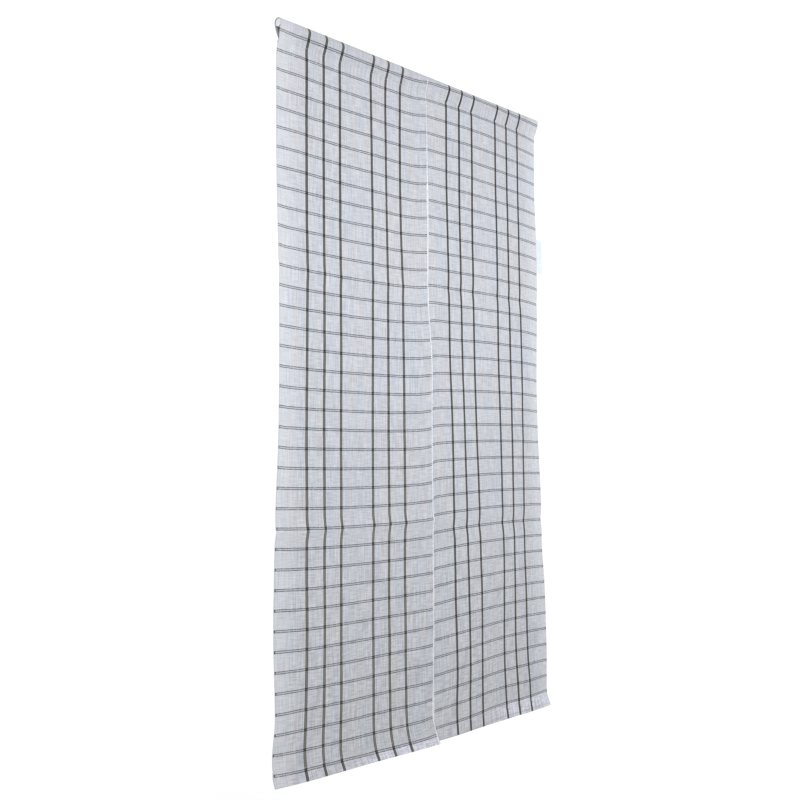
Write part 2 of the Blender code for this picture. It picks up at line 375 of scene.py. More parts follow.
def placed_across(panel, lines, columns):
    """Where each point lies along X, keeping the cloth's own width: the sheet
    draws in where it waves. The edge at the middle seam stays put."""
    left_side = panel is LEFT_PANEL
    order = range(len(columns) - 1, -1, -1) if left_side else range(len(columns))
    sign = -1 if left_side else 1
    places = [None] * len(columns)
    previous = None
    for i in order:
        row = []
        for j, point in enumerate(lines[i]):
            if previous is None:
                row.append(sign * SEAM_GAP / 2)
                continue
            width = abs(columns[i] - columns[previous])
            wave = point[0] - lines[previous][j][0]
            drawn = math.sqrt(max(width**2 - wave**2, (LEAST_DRAWN * width) ** 2))
            row.append(places[previous][j] + sign * drawn)
        places[i] = row
        previous = i
    return places


def link_mesh(name, points, faces, start=(0.0, 0.0, 0.0)):
    """A new smooth object from points in millimetres, measured from start."""
    mesh = bpy.data.meshes.new(name)
    placed = [[(a + b) * MM for a, b in zip(point, start)] for point in points]
    mesh.from_pydata(placed, [], faces)
    mesh.validate()
    mesh.shade_smooth()
    thing = bpy.data.objects.new(name, mesh)
    bpy.context.scene.collection.objects.link(thing)
    return thing


def closed_sheet(name, front, back, notes):
    """One closed thin sheet from matching grids of points for its two faces, with
    a rounded rim. notes holds three numbers for each place of the grid, which
    become the point attribute cloth_place."""
    wide = len(front)
    long = len(front[0])
    points = [point for grid in (front, back) for column in grid for point in column]
    marks = [mark for _side in range(2) for column in notes for mark in column]

    def at(side, i, j):
        return (side * wide + i) * long + j

    faces = []
    for i in range(wide - 1):
        for j in range(long - 1):
            faces.append((at(0, i, j), at(0, i + 1, j), at(0, i + 1, j + 1), at(0, i, j + 1)))
            faces.append((at(1, i, j), at(1, i, j + 1), at(1, i + 1, j + 1), at(1, i + 1, j)))
    rim = [(i, 0) for i in range(wide)] + [(wide - 1, j) for j in range(1, long)]
    rim += [(i, long - 1) for i in range(wide - 2, -1, -1)] + [(0, j) for j in range(long - 2, 0, -1)]
    first = len(points)
    for i, j in rim:
        edge = (Vector(front[i][j]) + Vector(back[i][j])) / 2
        inner_i = min(max(i, 1), wide - 2)
        inner_j = min(max(j, 1), long - 2)
        inner = (Vector(front[inner_i][inner_j]) + Vector(back[inner_i][inner_j])) / 2
        thick = (Vector(front[i][j]) - Vector(back[i][j])).length
        points.append(tuple(edge + (edge - inner).normalized() * thick / 2))
        marks.append(notes[i][j])
    for k, (i, j) in enumerate(rim):
        m, n = rim[(k + 1) % len(rim)]
        here = first + k
        there = first + (k + 1) % len(rim)
        faces.append((at(0, i, j), here, there, at(0, m, n)))
        faces.append((at(1, i, j), at(1, m, n), there, here))
    sheet = link_mesh(name, points, faces, MEASURING_LINE)
    place = sheet.data.attributes.new("cloth_place", "FLOAT_VECTOR", "POINT")
    place.data.foreach_set("vector", [number for mark in marks for number in mark])
    return sheet


def make_panel(panel):
    """One panel's sheet, with what later pieces need to lie on it."""
    columns = spread(0.0, PANEL_WIDTH, COLUMN_STEP)
    levels = hanging_levels()
    lines = []
    notes = []
    rows = [row[0] for row in panel["row_sag"]]
    for across in columns:
        line, drops = panel_line(panel, across, levels)
        sags = [smooth(panel["sag_across"], row[1:], across) for row in panel["row_sag"]]
        from_seam = PANEL_WIDTH - across if panel is LEFT_PANEL else across
        marks = []
        for drop in drops:
            row_place = drop - panel["first_row"]
            sag = smooth(rows, sags, row_place / ROW_PITCH)
            marks.append((across - panel["first_stripe"], row_place - sag, from_seam))
        lines.append(line)
        notes.append(marks)
    places = placed_across(panel, lines, columns)
    faces = []
    for shift in (-CLOTH / 2, CLOTH / 2):
        grid = []
        for i, line in enumerate(lines):
            moved = beside(line, [shift] * len(line))
            grid.append([(places[i][j], p[0], p[1]) for j, p in enumerate(moved)])
        faces.append(grid)
    sheet = closed_sheet(panel["name"] + "_cloth", faces[0], faces[1], notes)
    middle = lines[len(lines) // 2]
    panel["columns"] = columns
    panel["front"] = faces[0]
    panel["back"] = faces[1]
    panel["cut_length"] = lengths_along(middle, middle[0])[-1]
    return sheet


# The nodes of a material are built with these: a value is a number, a colour or
# another node's output.
def feed(tree, socket, value):
    """Give a socket its value, or link it."""
    if isinstance(value, bpy.types.NodeSocket):
        tree.links.new(value, socket)
    else:
        socket.default_value = value


def calc(tree, operation, *values):
    """The result of one Math node."""
    step = tree.nodes.new("ShaderNodeMath")
    step.operation = operation
    for socket, value in zip(step.inputs, values):
        feed(tree, socket, value)
    return step.outputs[0]


def ramp(tree, value, start, end, low=0.0, high=1.0):
    """A soft change from low at start to high at end."""
    step = tree.nodes.new("ShaderNodeMapRange")
    step.interpolation_type = "SMOOTHSTEP"
    for socket, number in zip(step.inputs, (value, start, end, low, high)):
        feed(tree, socket, number)
    return step.outputs[0]


def band(tree, distance, half_width, soft):
    """One within half_width of a line and nothing beyond it, with a soft edge."""
    return ramp(tree, distance, half_width + soft / 2, half_width - soft / 2)


def tint(tree, factor, first, second):
    """The first colour turned into the second by factor."""
    step = tree.nodes.new("ShaderNodeMix")
    step.data_type = "RGBA"
    feed(tree, step.inputs[0], factor)
    feed(tree, step.inputs[6], first)
    feed(tree, step.inputs[7], second)
    return step.outputs[2]


def grain(tree, place, stretch, detail=2.0):
    """Noise about one half over a place, at so many grains a unit each way."""
    scaled = tree.nodes.new("ShaderNodeVectorMath")
    scaled.operation = "MULTIPLY"
    feed(tree, scaled.inputs[0], place)
    feed(tree, scaled.inputs[1], stretch)
    cloud = tree.nodes.new("ShaderNodeTexNoise")
    feed(tree, cloud.inputs["Vector"], scaled.outputs[0])
    feed(tree, cloud.inputs["Scale"], 1.0)
    feed(tree, cloud.inputs["Detail"], detail)
    return cloud.outputs[0]


def three_parts(tree, vector):
    """The three numbers of a vector, one by one."""
    parts = tree.nodes.new("ShaderNodeSeparateXYZ")
    feed(tree, parts.inputs[0], vector)
    return parts.outputs[0], parts.outputs[1], parts.outputs[2]


# The thick places of the two yarns: how many there are in a millimetre across the
# cloth and down it, and how much those of the weft count
WARP_SLUBS = (0.9, 0.02, 0.0)
WEFT_SLUBS = (0.025, 1.1, 0.0)
WEFT_SHARE = 0.8
NOISE_MIDDLE = 0.5


def woven_yarns_group():
    """The plain weave that cloth and ribbon share: which of the two yarns lies on
    top, how high it stands, and how its thickness varies along it."""
    tree = bpy.data.node_groups.new("woven_yarns", "ShaderNodeTree")
    sides = (
        ("Place", "INPUT", "NodeSocketVector"),
        ("Yarn Spacing", "INPUT", "NodeSocketFloat"),
        ("Warp On Top", "OUTPUT", "NodeSocketFloat"),
        ("Height", "OUTPUT", "NodeSocketFloat"),
        ("Slubs", "OUTPUT", "NodeSocketFloat"),
    )
    for name, side, kind in sides:
        tree.interface.new_socket(name=name, in_out=side, socket_type=kind)
    given = tree.nodes.new("NodeGroupInput")
    result = tree.nodes.new("NodeGroupOutput")
    across, down, _through = three_parts(tree, given.outputs["Place"])
    turn = calc(tree, "DIVIDE", math.pi, given.outputs["Yarn Spacing"])
    warp = calc(tree, "SINE", calc(tree, "MULTIPLY", across, turn))
    weft = calc(tree, "SINE", calc(tree, "MULTIPLY", down, turn))
    on_top = calc(tree, "MULTIPLY_ADD", calc(tree, "MULTIPLY", warp, weft), 0.5, 0.5)
    warp_crown = calc(tree, "MULTIPLY", calc(tree, "ABSOLUTE", warp), on_top)
    under = calc(tree, "SUBTRACT", 1.0, on_top)
    height = calc(tree, "MULTIPLY_ADD", calc(tree, "ABSOLUTE", weft), under, warp_crown)
    warp_slubs = grain(tree, given.outputs["Place"], WARP_SLUBS)
    weft_slubs = grain(tree, given.outputs["Place"], WEFT_SLUBS)
    weft_slubs = calc(tree, "SUBTRACT", weft_slubs, NOISE_MIDDLE)
    slubs = calc(tree, "MULTIPLY_ADD", weft_slubs, WEFT_SHARE, warp_slubs)
    feed(tree, result.inputs["Warp On Top"], on_top)
    feed(tree, result.inputs["Height"], height)
    feed(tree, result.inputs["Slubs"], slubs)
    return tree


WEAVE = woven_yarns_group()


def new_material(name):
    """A material with its node tree and its Principled shader."""
    material = bpy.data.materials.new(name)
    material.use_nodes = True
    tree = material.node_tree
    return material, tree, tree.nodes["Principled BSDF"]


def weave_of(tree, place, spacing):
    """The weave's group node in one material."""
    node = tree.nodes.new("ShaderNodeGroup")
    node.node_tree = WEAVE
    feed(tree, node.inputs["Place"], place)
    feed(tree, node.inputs["Yarn Spacing"], spacing)
    return node.outputs


def bump(tree, shader, height, depth, strength):
    """Raise a height into the shader's normal."""
    raised = tree.nodes.new("ShaderNodeBump")
    raised.inputs["Distance"].default_value = depth
    raised.inputs["Strength"].default_value = strength
    feed(tree, raised.inputs["Height"], height)
    feed(tree, shader.inputs["Normal"], raised.outputs[0])


def cloth_place(tree):
    """The place on a sheet that closed_sheet noted at each of its points."""
    noted = tree.nodes.new("ShaderNodeAttribute")
    noted.attribute_name = "cloth_place"
    return noted.outputs["Vector"]


# The colours of the check
GROUND = (0.445, 0.465, 0.50, 1.0)
# A darker ground, for the slubs and streaks, and for painted shade over the pocket and along the
# hem's fold
DARK_YARN_AND_SHADE = (0.24, 0.245, 0.26, 1.0)
GROUND_WARM = (0.475, 0.47, 0.475, 1.0)
SELVEDGE_WHITE = (0.59, 0.60, 0.62, 1.0)
# The doubled hem's paler colour, which also carries painted light on the hem
HEM_PALE_AND_LIT = (0.62, 0.62, 0.70, 1.0)
STRIPE_DARK = (0.022, 0.020, 0.016, 1.0)
STRIPE_CORE = (0.18, 0.165, 0.13, 1.0)
LINE_GREY = (0.036, 0.036, 0.046, 1.0)
CROSSING = (0.004, 0.004, 0.004, 1.0)

# Its sizes, in millimetres. Three stripes stand in every group of four places. The
# rows end at the selvedge, which is wide and white along the slit and hardly shows
# along the outer edge and in the seam. Drops are measured down from the first row.
STRIPE_HALF = 3.35
CORE_HALF = STRIPE_HALF * 0.6
HALO_HALF = STRIPE_HALF + 1.8
GROUP_PLACES = 4
GROUP_STRIPES = 3
LINE_APART = 2.0
LINE_HALF = 0.78
TURN_HALF = LINE_APART + 0.9
KNOT_HALF = LINE_APART + 1.0
YARN_SPACING = 0.9
SELVEDGE = 2.6
SEAM_EDGE = 0.8
SLIT_START = 235.0
SLIT_DROPS = (SLIT_START - 6.0, SLIT_START + 6.0)
HEM_START = 1450.0
HEM_DROPS = (HEM_START, HEM_START + 3.0)
HEM_FOLD = 1480.0

# How softly a stripe, a line and the other marks end
STRIPE_SOFT = 0.9
LINE_SOFT = 0.5
MARK_SOFT = 1.2
TURN_SOFT = 0.8
BETWEEN_SOFT = 1.0

# How many grains of a kind of unevenness there are in a millimetre, across the
# cloth and down it, and how far the stripes and the rows sway with them
STRIPE_SWAY = (0.01, 0.09, 0.0)
STRIPE_SWAY_REACH = 1.2
ROW_SWAY = (0.05, 0.01, 0.0)
ROW_SWAY_REACH = 1.4
LINE_BREAKS = (0.22, 0.6, 0.0)
EDGE_BREAKS = (0.0, 0.14, 0.0)
BREAKS_DETAIL = 3.0
TONE_BANDS = (0.04, 0.004, 0.0)
TONE_DETAIL = 4.0
WARP_STREAKS = (0.45, 0.018, 0.0)
WEFT_STREAKS = (0.045, 0.5, 0.0)

# Soft changes: the value at which each starts and ends, then its strength at both,
# where these aren't none and full. Where one is missing, the code works it out.
BREAKS_IN_LINE = (0.34, 0.52, 0.45, 1.0)
BREAKS_IN_EDGE = (0.36, 0.6, 0.4, 1.0)
ROW_ENDS = (0.0, 0.8)
TURN_REACH = (4.2, 3.4)
TURN_BY_DROP = (350.0, 1200.0, 0.1, 0.85)
TONE_CHANGE = (0.35, 0.65)
# The hem's lightening across the panel: a small share of its own paler colour at the start, the rest
# painted light
HEM_PAINTED_LIGHT_ACROSS = (90.0, 230.0, 0.1, 0.85)
# Painted shade over the pocket
POCKET_SHADE = (26.0, 8.0, 0.0, 0.14)
SLUB_SHADE = (0.62, 0.30, 0.0, 0.5)
STREAK_SHADE = (1.2, 0.75, 0.0)
STREAK_BY_DROP = (700.0, 1400.0, 0.5, 0.75)
# Painted shade along the hem's fold
FOLD_SHADE = (2.2, 0.8, 0.0, 0.5)
PALE_EDGE = (0.5, -0.5, 0.0)
PALE_OUTER_SIDE = (70.0, 0.0, 0.0, 0.3)
FADE_DROPS = (100.0, 1150.0)
FADE_IN_HEM = (0.0, 1.0, 1.0, 0.5)
CORE_BY_SLUB = (0.2, 0.6, 0.5, 1.0)
CLOTH_ROUGHNESS = (0.0, 1.0, 0.96, 0.84)

# How strongly a mark covers what lies under it, and the cloth's shine and relief
BETWEEN_COVER = 0.2
HALO_COVER = 0.12
WEFT_IN_STRIPE = -0.08
KNOT_COVER = 0.7
LINE_COVER = 0.94
CLOTH_SHINE = 0.2
CLOTH_SHEEN = 0.05
SHEEN_ROUGHNESS = 0.5
SLUB_HEIGHT = 0.8
WEAVE_DEPTH = 0.00012
WEAVE_STRENGTH = 0.6


def swayed(tree, place, grains, reach, distance):
    """A distance that sways to both sides by up to half its reach."""
    sway = calc(tree, "SUBTRACT", grain(tree, place, grains), NOISE_MIDDLE)
    return calc(tree, "MULTIPLY_ADD", sway, reach, distance)


def check_stripes(tree, place, across):
    """How far a point is from the nearest stripe's middle, whether that stripe is
    one of the three in its group, and the stripes themselves."""
    stripe_place = swayed(tree, place, STRIPE_SWAY, STRIPE_SWAY_REACH, across)
    from_stripe = calc(tree, "PINGPONG", stripe_place, STRIPE_PITCH / 2)
    shifted = calc(tree, "ADD", stripe_place, STRIPE_PITCH / 2)
    in_group = calc(tree, "WRAP", shifted, GROUP_PLACES * STRIPE_PITCH, 0.0)
    woven = calc(tree, "LESS_THAN", in_group, GROUP_STRIPES * STRIPE_PITCH)
    stripe = calc(tree, "MULTIPLY", band(tree, from_stripe, STRIPE_HALF, STRIPE_SOFT), woven)
    return from_stripe, woven, stripe


def check_rows(tree, place, down, row_end, from_edge):
    """How far a point is from the nearest row's middle, the row's two lines, and
    the turn of their yarn at the outer edge, which shows more lower down."""
    row_place = swayed(tree, place, ROW_SWAY, ROW_SWAY_REACH, down)
    from_row = calc(tree, "PINGPONG", row_place, ROW_PITCH / 2)
    from_line = calc(tree, "ABSOLUTE", calc(tree, "SUBTRACT", from_row, LINE_APART))
    line = band(tree, from_line, LINE_HALF, LINE_SOFT)
    broken = ramp(tree, grain(tree, place, LINE_BREAKS, BREAKS_DETAIL), *BREAKS_IN_LINE)
    inside = ramp(tree, row_end, *ROW_ENDS)
    line = calc(tree, "MULTIPLY", calc(tree, "MULTIPLY", line, broken), inside)
    between = calc(tree, "MULTIPLY", band(tree, from_row, LINE_APART, BETWEEN_SOFT), BETWEEN_COVER)
    line = calc(tree, "MAXIMUM", line, calc(tree, "MULTIPLY", between, inside))
    turn = calc(tree, "MULTIPLY", band(tree, from_row, TURN_HALF, TURN_SOFT), inside)
    turn = calc(tree, "MULTIPLY", turn, ramp(tree, from_edge, *TURN_REACH))
    turn = calc(tree, "MULTIPLY", turn, ramp(tree, down, *TURN_BY_DROP))
    return from_row, line, turn


def ground_colour(tree, place, weave, across, down, in_hem):
    """The colour of the plain cloth: slow bands of tone down it, its slubs, coarser
    streaks along both yarns, a paler doubled hem with painted light on it towards the
    panel's right side, and painted shade over the pocket and along the hem's fold."""
    tone = ramp(tree, grain(tree, place, TONE_BANDS, TONE_DETAIL), *TONE_CHANGE)
    colour = tint(tree, tone, GROUND, GROUND_WARM)
    # the doubled hem's paler colour, and painted light on it that grows across the panel
    hem_pale_and_lit = calc(tree, "MULTIPLY", in_hem, ramp(tree, across, *HEM_PAINTED_LIGHT_ACROSS))
    colour = tint(tree, hem_pale_and_lit, colour, HEM_PALE_AND_LIT)
    # painted shade over the pocket
    colour = tint(tree, ramp(tree, down, *POCKET_SHADE), colour, DARK_YARN_AND_SHADE)
    colour = tint(tree, ramp(tree, weave["Slubs"], *SLUB_SHADE), colour, DARK_YARN_AND_SHADE)
    streaks = calc(tree, "ADD", grain(tree, place, WARP_STREAKS), grain(tree, place, WEFT_STREAKS))
    streaks = ramp(tree, streaks, *STREAK_SHADE, ramp(tree, down, *STREAK_BY_DROP))
    colour = tint(tree, streaks, colour, DARK_YARN_AND_SHADE)
    # painted shade along the hem's fold
    from_fold = calc(tree, "ABSOLUTE", calc(tree, "SUBTRACT", down, HEM_FOLD))
    return tint(tree, ramp(tree, from_fold, *FOLD_SHADE), colour, DARK_YARN_AND_SHADE)


def stripe_colour(tree, weave, from_stripe, down, in_hem, fade):
    """A stripe is dark at the top and at its sides, and fades in its middle."""
    hem_fade = ramp(tree, in_hem, *FADE_IN_HEM)
    faded = calc(tree, "MULTIPLY", ramp(tree, down, *FADE_DROPS, *fade), hem_fade)
    core = calc(tree, "MULTIPLY", band(tree, from_stripe, CORE_HALF, MARK_SOFT), faded)
    core = calc(tree, "MULTIPLY", core, ramp(tree, weave["Slubs"], *CORE_BY_SLUB))
    return tint(tree, core, STRIPE_DARK, STRIPE_CORE)


def check_cloth_material(name, fade):
    """Pale grey plain weave with olive brown stripes down it and pairs of thin
    grey lines across it, which are nearly black where they cross a stripe. fade
    says how pale the middle of a stripe is near the top and near the hem."""
    material, tree, shader = new_material(name)
    place = cloth_place(tree)
    across, down, from_seam = three_parts(tree, place)
    weave = weave_of(tree, place, YARN_SPACING)
    in_hem = ramp(tree, down, *HEM_DROPS)
    slit = ramp(tree, down, *SLIT_DROPS)
    from_edge = calc(tree, "SUBTRACT", PANEL_WIDTH, from_seam)
    pale_width = calc(tree, "MULTIPLY_ADD", slit, SELVEDGE - SEAM_EDGE, SEAM_EDGE)
    from_pale = calc(tree, "SUBTRACT", from_seam, pale_width)
    row_end = calc(tree, "MINIMUM", from_pale, from_edge)
    from_stripe, woven, stripe = check_stripes(tree, place, across)
    from_row, line, turn = check_rows(tree, place, down, row_end, from_edge)

    # The ground, paler along the inner selvedge and widest along the slit, lighter over the last 70
    # mm towards the outer edge, and paler close beside a stripe
    colour = ground_colour(tree, place, weave, across, down, in_hem)
    clean = ramp(tree, grain(tree, place, EDGE_BREAKS, BREAKS_DETAIL), *BREAKS_IN_EDGE)
    slit_edge = ramp(tree, from_pale, *PALE_EDGE, clean)
    pale = calc(tree, "MAXIMUM", slit_edge, ramp(tree, from_edge, *PALE_OUTER_SIDE))
    halo = calc(tree, "MULTIPLY", band(tree, from_stripe, HALO_HALF, MARK_SOFT), HALO_COVER)
    halo = calc(tree, "MULTIPLY", halo, woven)
    colour = tint(tree, calc(tree, "MAXIMUM", pale, halo), colour, SELVEDGE_WHITE)

    # The stripes, and the lines over them with a dark knot at each crossing
    white_weft = calc(tree, "SUBTRACT", 1.0, weave["Warp On Top"])
    cover = calc(tree, "MULTIPLY_ADD", white_weft, WEFT_IN_STRIPE, 1.0)
    yarns = stripe_colour(tree, weave, from_stripe, down, in_hem, fade)
    colour = tint(tree, calc(tree, "MULTIPLY", stripe, cover), colour, yarns)
    knot = calc(tree, "MULTIPLY", stripe, KNOT_COVER)
    knot = calc(tree, "MULTIPLY", band(tree, from_row, KNOT_HALF, MARK_SOFT), knot)
    line_colour = tint(tree, calc(tree, "MAXIMUM", stripe, turn), LINE_GREY, CROSSING)
    cover = calc(tree, "MAXIMUM", calc(tree, "MAXIMUM", line, turn), knot)
    colour = tint(tree, calc(tree, "MULTIPLY", cover, LINE_COVER), colour, line_colour)

    feed(tree, shader.inputs["Base Color"], colour)
    feed(tree, shader.inputs["Roughness"], ramp(tree, weave["Height"], *CLOTH_ROUGHNESS))
    shader.inputs["Specular IOR Level"].default_value = CLOTH_SHINE
    shader.inputs["Sheen Weight"].default_value = CLOTH_SHEEN
    shader.inputs["Sheen Roughness"].default_value = SHEEN_ROUGHNESS
    relief = calc(tree, "MULTIPLY_ADD", weave["Slubs"], SLUB_HEIGHT, weave["Height"])
    bump(tree, shader, relief, WEAVE_DEPTH, WEAVE_STRENGTH)
    return material


for panel in (LEFT_PANEL, RIGHT_PANEL):
    sheet = make_panel(panel)
    sheet.data.materials.append(check_cloth_material(panel["name"] + "_check", panel["fade"]))
    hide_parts(panel["name"])
    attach(sheet, "root")


# The sewing of each panel.
# Pale grey cotton thread in a machine's running stitch, which holds the pocket and
# the hem. Each stitch is a short loop that dips into the cloth at both of its ends.
THREAD = 0.45
STITCH_LENGTH = 2.7
STITCH_PITCH = 3.3
STITCH_RISE = 0.22
STITCH_SINK = 0.5
STITCH_BELOW = 0.3
THREAD_SIDES = 6
LOOP_STEPS = 4
SEWING_MARGIN = 3.0

# How far a row of stitches wanders, over what length, and the noise row it follows
SEWING_WANDER = (0.25, 14.0, 2.0)


def surface_point(panel, face, across, z):
    """The point at one distance across and one height on the front or back face of
    a hanging sheet, in millimetres."""
    columns = panel["columns"]
    i = min(len(columns) - 2, max(0, int(across / (columns[1] - columns[0]))))
    share = (across - columns[i]) / (columns[i + 1] - columns[i])
    found = []
    for column in (panel[face][i], panel[face][i + 1]):
        j = min(range(len(column)), key=lambda k: column[k][2])
        while column[j + 1][2] < z:
            j += 1
        low = Vector(column[j])
        high = Vector(column[j + 1])
        found.append(low.lerp(high, (z - low.z) / (high.z - low.z)))
    return found[0].lerp(found[1], share)


def thread_loop(points, faces, start, end, out, thick=THREAD):
    """Add one stitch: a thin round tube on a low arc from start to end, standing
    out of the cloth along out."""
    along = (end - start).normalized()
    side = along.cross(out).normalized()
    ring_at = len(points)
    for i in range(LOOP_STEPS + 1):
        t = i / LOOP_STEPS
        bulge = 1.0 - (2.0 * t - 1.0) ** 4
        centre = start.lerp(end, t) + out * (STITCH_RISE * bulge - STITCH_SINK * (1.0 - bulge))
        for k in range(THREAD_SIDES):
            turn = math.tau * k / THREAD_SIDES
            ring = side * math.cos(turn) + out * math.sin(turn)
            points.append(tuple(centre + ring * thick / 2))
    for i in range(LOOP_STEPS):
        for k in range(THREAD_SIDES):
            a = ring_at + i * THREAD_SIDES + k
            b = ring_at + i * THREAD_SIDES + (k + 1) % THREAD_SIDES
            faces.append((a, b, b + THREAD_SIDES, a + THREAD_SIDES))
    faces.append(tuple(ring_at + k for k in range(THREAD_SIDES - 1, -1, -1)))
    last = ring_at + LOOP_STEPS * THREAD_SIDES
    faces.append(tuple(last + k for k in range(THREAD_SIDES)))


# The fibres of a thread, with so many grains in a metre, and its shine
FIBRES = (2600.0, 2600.0, 2600.0)
FIBRE_TONE = (0.35, 0.65)
FIBRE_ROUGHNESS = (0.3, 0.7, 0.7, 0.9)
FIBRE_DEPTH = 0.0001
FIBRE_STRENGTH = 0.5
THREAD_SHEEN = 0.2
GREY_DULL = (0.42, 0.43, 0.45, 1.0)
GREY_BRIGHT = (0.54, 0.55, 0.57, 1.0)


def thread_material(name, dull, bright):
    """Twisted cotton thread, a little uneven in tone."""
    material, tree, shader = new_material(name)
    spot = tree.nodes.new("ShaderNodeTexCoord")
    fibres = grain(tree, spot.outputs["Object"], FIBRES)
    colour = tint(tree, ramp(tree, fibres, *FIBRE_TONE), dull, bright)
    feed(tree, shader.inputs["Base Color"], colour)
    feed(tree, shader.inputs["Roughness"], ramp(tree, fibres, *FIBRE_ROUGHNESS))
    shader.inputs["Sheen Weight"].default_value = THREAD_SHEEN
    bump(tree, shader, fibres, FIBRE_DEPTH, FIBRE_STRENGTH)
    return material


GREY_THREAD = thread_material("grey_thread", GREY_DULL, GREY_BRIGHT)
FORWARD = Vector((0.0, -1.0, 0.0))
BACKWARD = Vector((0.0, 1.0, 0.0))


def sewn_piece(name, points, faces, thread):
    """A joined mesh of stitches as a piece of the scene."""
    piece = link_mesh(name, points, faces, MEASURING_LINE)
    piece.data.materials.append(thread)
    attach(piece, "root")
    return piece


high, long, noise_row = SEWING_WANDER
behind = Vector((0.0, LAYER_SHIFT + CLOTH, 0.0))
for panel in (LEFT_PANEL, RIGHT_PANEL):
    points = []
    faces = []
    for line_z in (STITCH_Z, HEM_STITCH_Z):
        across = SEWING_MARGIN
        while across + STITCH_LENGTH < PANEL_WIDTH - SEWING_MARGIN:
            lift = high * noise.noise(Vector((across / long, line_z, noise_row)))
            z = line_z + lift - STITCH_BELOW
            start = surface_point(panel, "front", across, z)
            end = surface_point(panel, "front", across + STITCH_LENGTH, z)
            thread_loop(points, faces, start, end, FORWARD)
            thread_loop(points, faces, end + behind, start + behind, BACKWARD)
            across += STITCH_PITCH
    sewn_piece(panel["name"] + "_sewing", points, faces, GREY_THREAD)


# The middle seam.
# The two inner selvedges are sewn edge to edge by hand with thick white thread, in
# uneven slanting stitches from the pocket down to the slit, and a close bar there.
SEAM_THREAD = 0.9
SEAM_END_Z = -245.0
SEAM_PITCH = 10.5
SEAM_REACH = 1.5
SEAM_WANDER = 3.0
SEAM_WANDER_LENGTH = 16.0
SEAM_NOISE_ROW = (5.0, 1.0)
SEAM_SLANT = 7.0
BAR_STITCHES = 5
BAR_PITCH = 1.3
BAR_SLANT = 1.0
WHITE_DULL = (0.70, 0.70, 0.71, 1.0)
WHITE_BRIGHT = (0.88, 0.88, 0.88, 1.0)

WHITE_THREAD = thread_material("white_thread", WHITE_DULL, WHITE_BRIGHT)
points = []
faces = []
stitches = [(z, SEAM_SLANT) for z in spread(STITCH_Z - SEAM_SLANT, SEAM_END_Z, SEAM_PITCH)]
stitches += [(SEAM_END_Z - BAR_PITCH * i, BAR_SLANT) for i in range(1, BAR_STITCHES)]
for z, slant in stitches:
    lean = SEAM_WANDER * noise.noise(Vector((z / SEAM_WANDER_LENGTH, *SEAM_NOISE_ROW)))
    left_reach = SEAM_REACH + max(0.0, -lean)
    right_reach = SEAM_REACH + max(0.0, lean)
    for face, out, rise in (("front", FORWARD, slant / 2), ("back", BACKWARD, -slant / 2)):
        left = surface_point(LEFT_PANEL, face, PANEL_WIDTH - left_reach, z + rise)
        right = surface_point(RIGHT_PANEL, face, right_reach, z - rise)
        thread_loop(points, faces, left, right, out, SEAM_THREAD)
sewn_piece("middle_seam", points, faces, WHITE_THREAD)


# The label.
# A short piece of plain white woven ribbon, sewn behind the right panel's outer
# edge so that most of it stands out past the cloth. It carries nothing.
LABEL = 0.45
LABEL_TOP_Z = -304.0
LABEL_HEIGHT = 86.0
LABEL_INSIDE = 8.0
LABEL_OUTSIDE = 26.0
LABEL_LEAN = 0.04
LABEL_BEHIND = 1.4
LABEL_STEP = 2.0
LABEL_SEAM = 3.5
LABEL_MARGIN = 1.5

# How far the label's free end curls, over what width and length, and its noise row
LABEL_CURL = (0.5, 18.0, 30.0, 4.0)

label_edge_x = PANEL_WIDTH + SEAM_GAP / 2
edge_depth = hang_at(RIGHT_PANEL, PANEL_WIDTH)
inner_depth = hang_at(RIGHT_PANEL, PANEL_WIDTH - LABEL_INSIDE)
label_front = []
label_back = []
label_notes = []
high, wide, long, noise_row = LABEL_CURL
for place in spread(-LABEL_INSIDE, LABEL_OUTSIDE, LABEL_STEP):
    fore = []
    aft = []
    marks = []
    for z in spread(LABEL_TOP_Z - LABEL_HEIGHT, LABEL_TOP_Z, LABEL_STEP):
        inward = min(1.0, max(0.0, -place / LABEL_INSIDE))
        y = edge_depth(z) + (inner_depth(z) - edge_depth(z)) * inward
        free = max(place, 0.0)
        curl = high * noise.noise(Vector((place / wide, z / long, noise_row)))
        curl = curl * free / LABEL_OUTSIDE
        y += LABEL_BEHIND + LABEL_LEAN * free + curl
        fore.append((label_edge_x + place, y - LABEL / 2, z))
        aft.append((label_edge_x + place, y + LABEL / 2, z))
        marks.append((place, z, min(place + LABEL_INSIDE, LABEL_OUTSIDE - place)))
    label_front.append(fore)
    label_back.append(aft)
    label_notes.append(marks)
label = closed_sheet("label_ribbon", label_front, label_back, label_notes)


RIBBON_SPACING = 0.5
RIBBON_DULL = (0.47, 0.52, 0.55, 1.0)
RIBBON_BRIGHT = (0.55, 0.595, 0.62, 1.0)
RIBBON_FIRM = (0.60, 0.63, 0.65, 1.0)
RIBBON_TONE = (0.3, 0.7)
RIBBON_EDGE = (1.6, 0.8, 0.0, 0.5)
RIBBON_ROUGHNESS = (0.0, 1.0, 0.75, 0.55)
RIBBON_SHEEN = 0.1
RIBBON_DEPTH = 0.00008
RIBBON_STRENGTH = 0.6


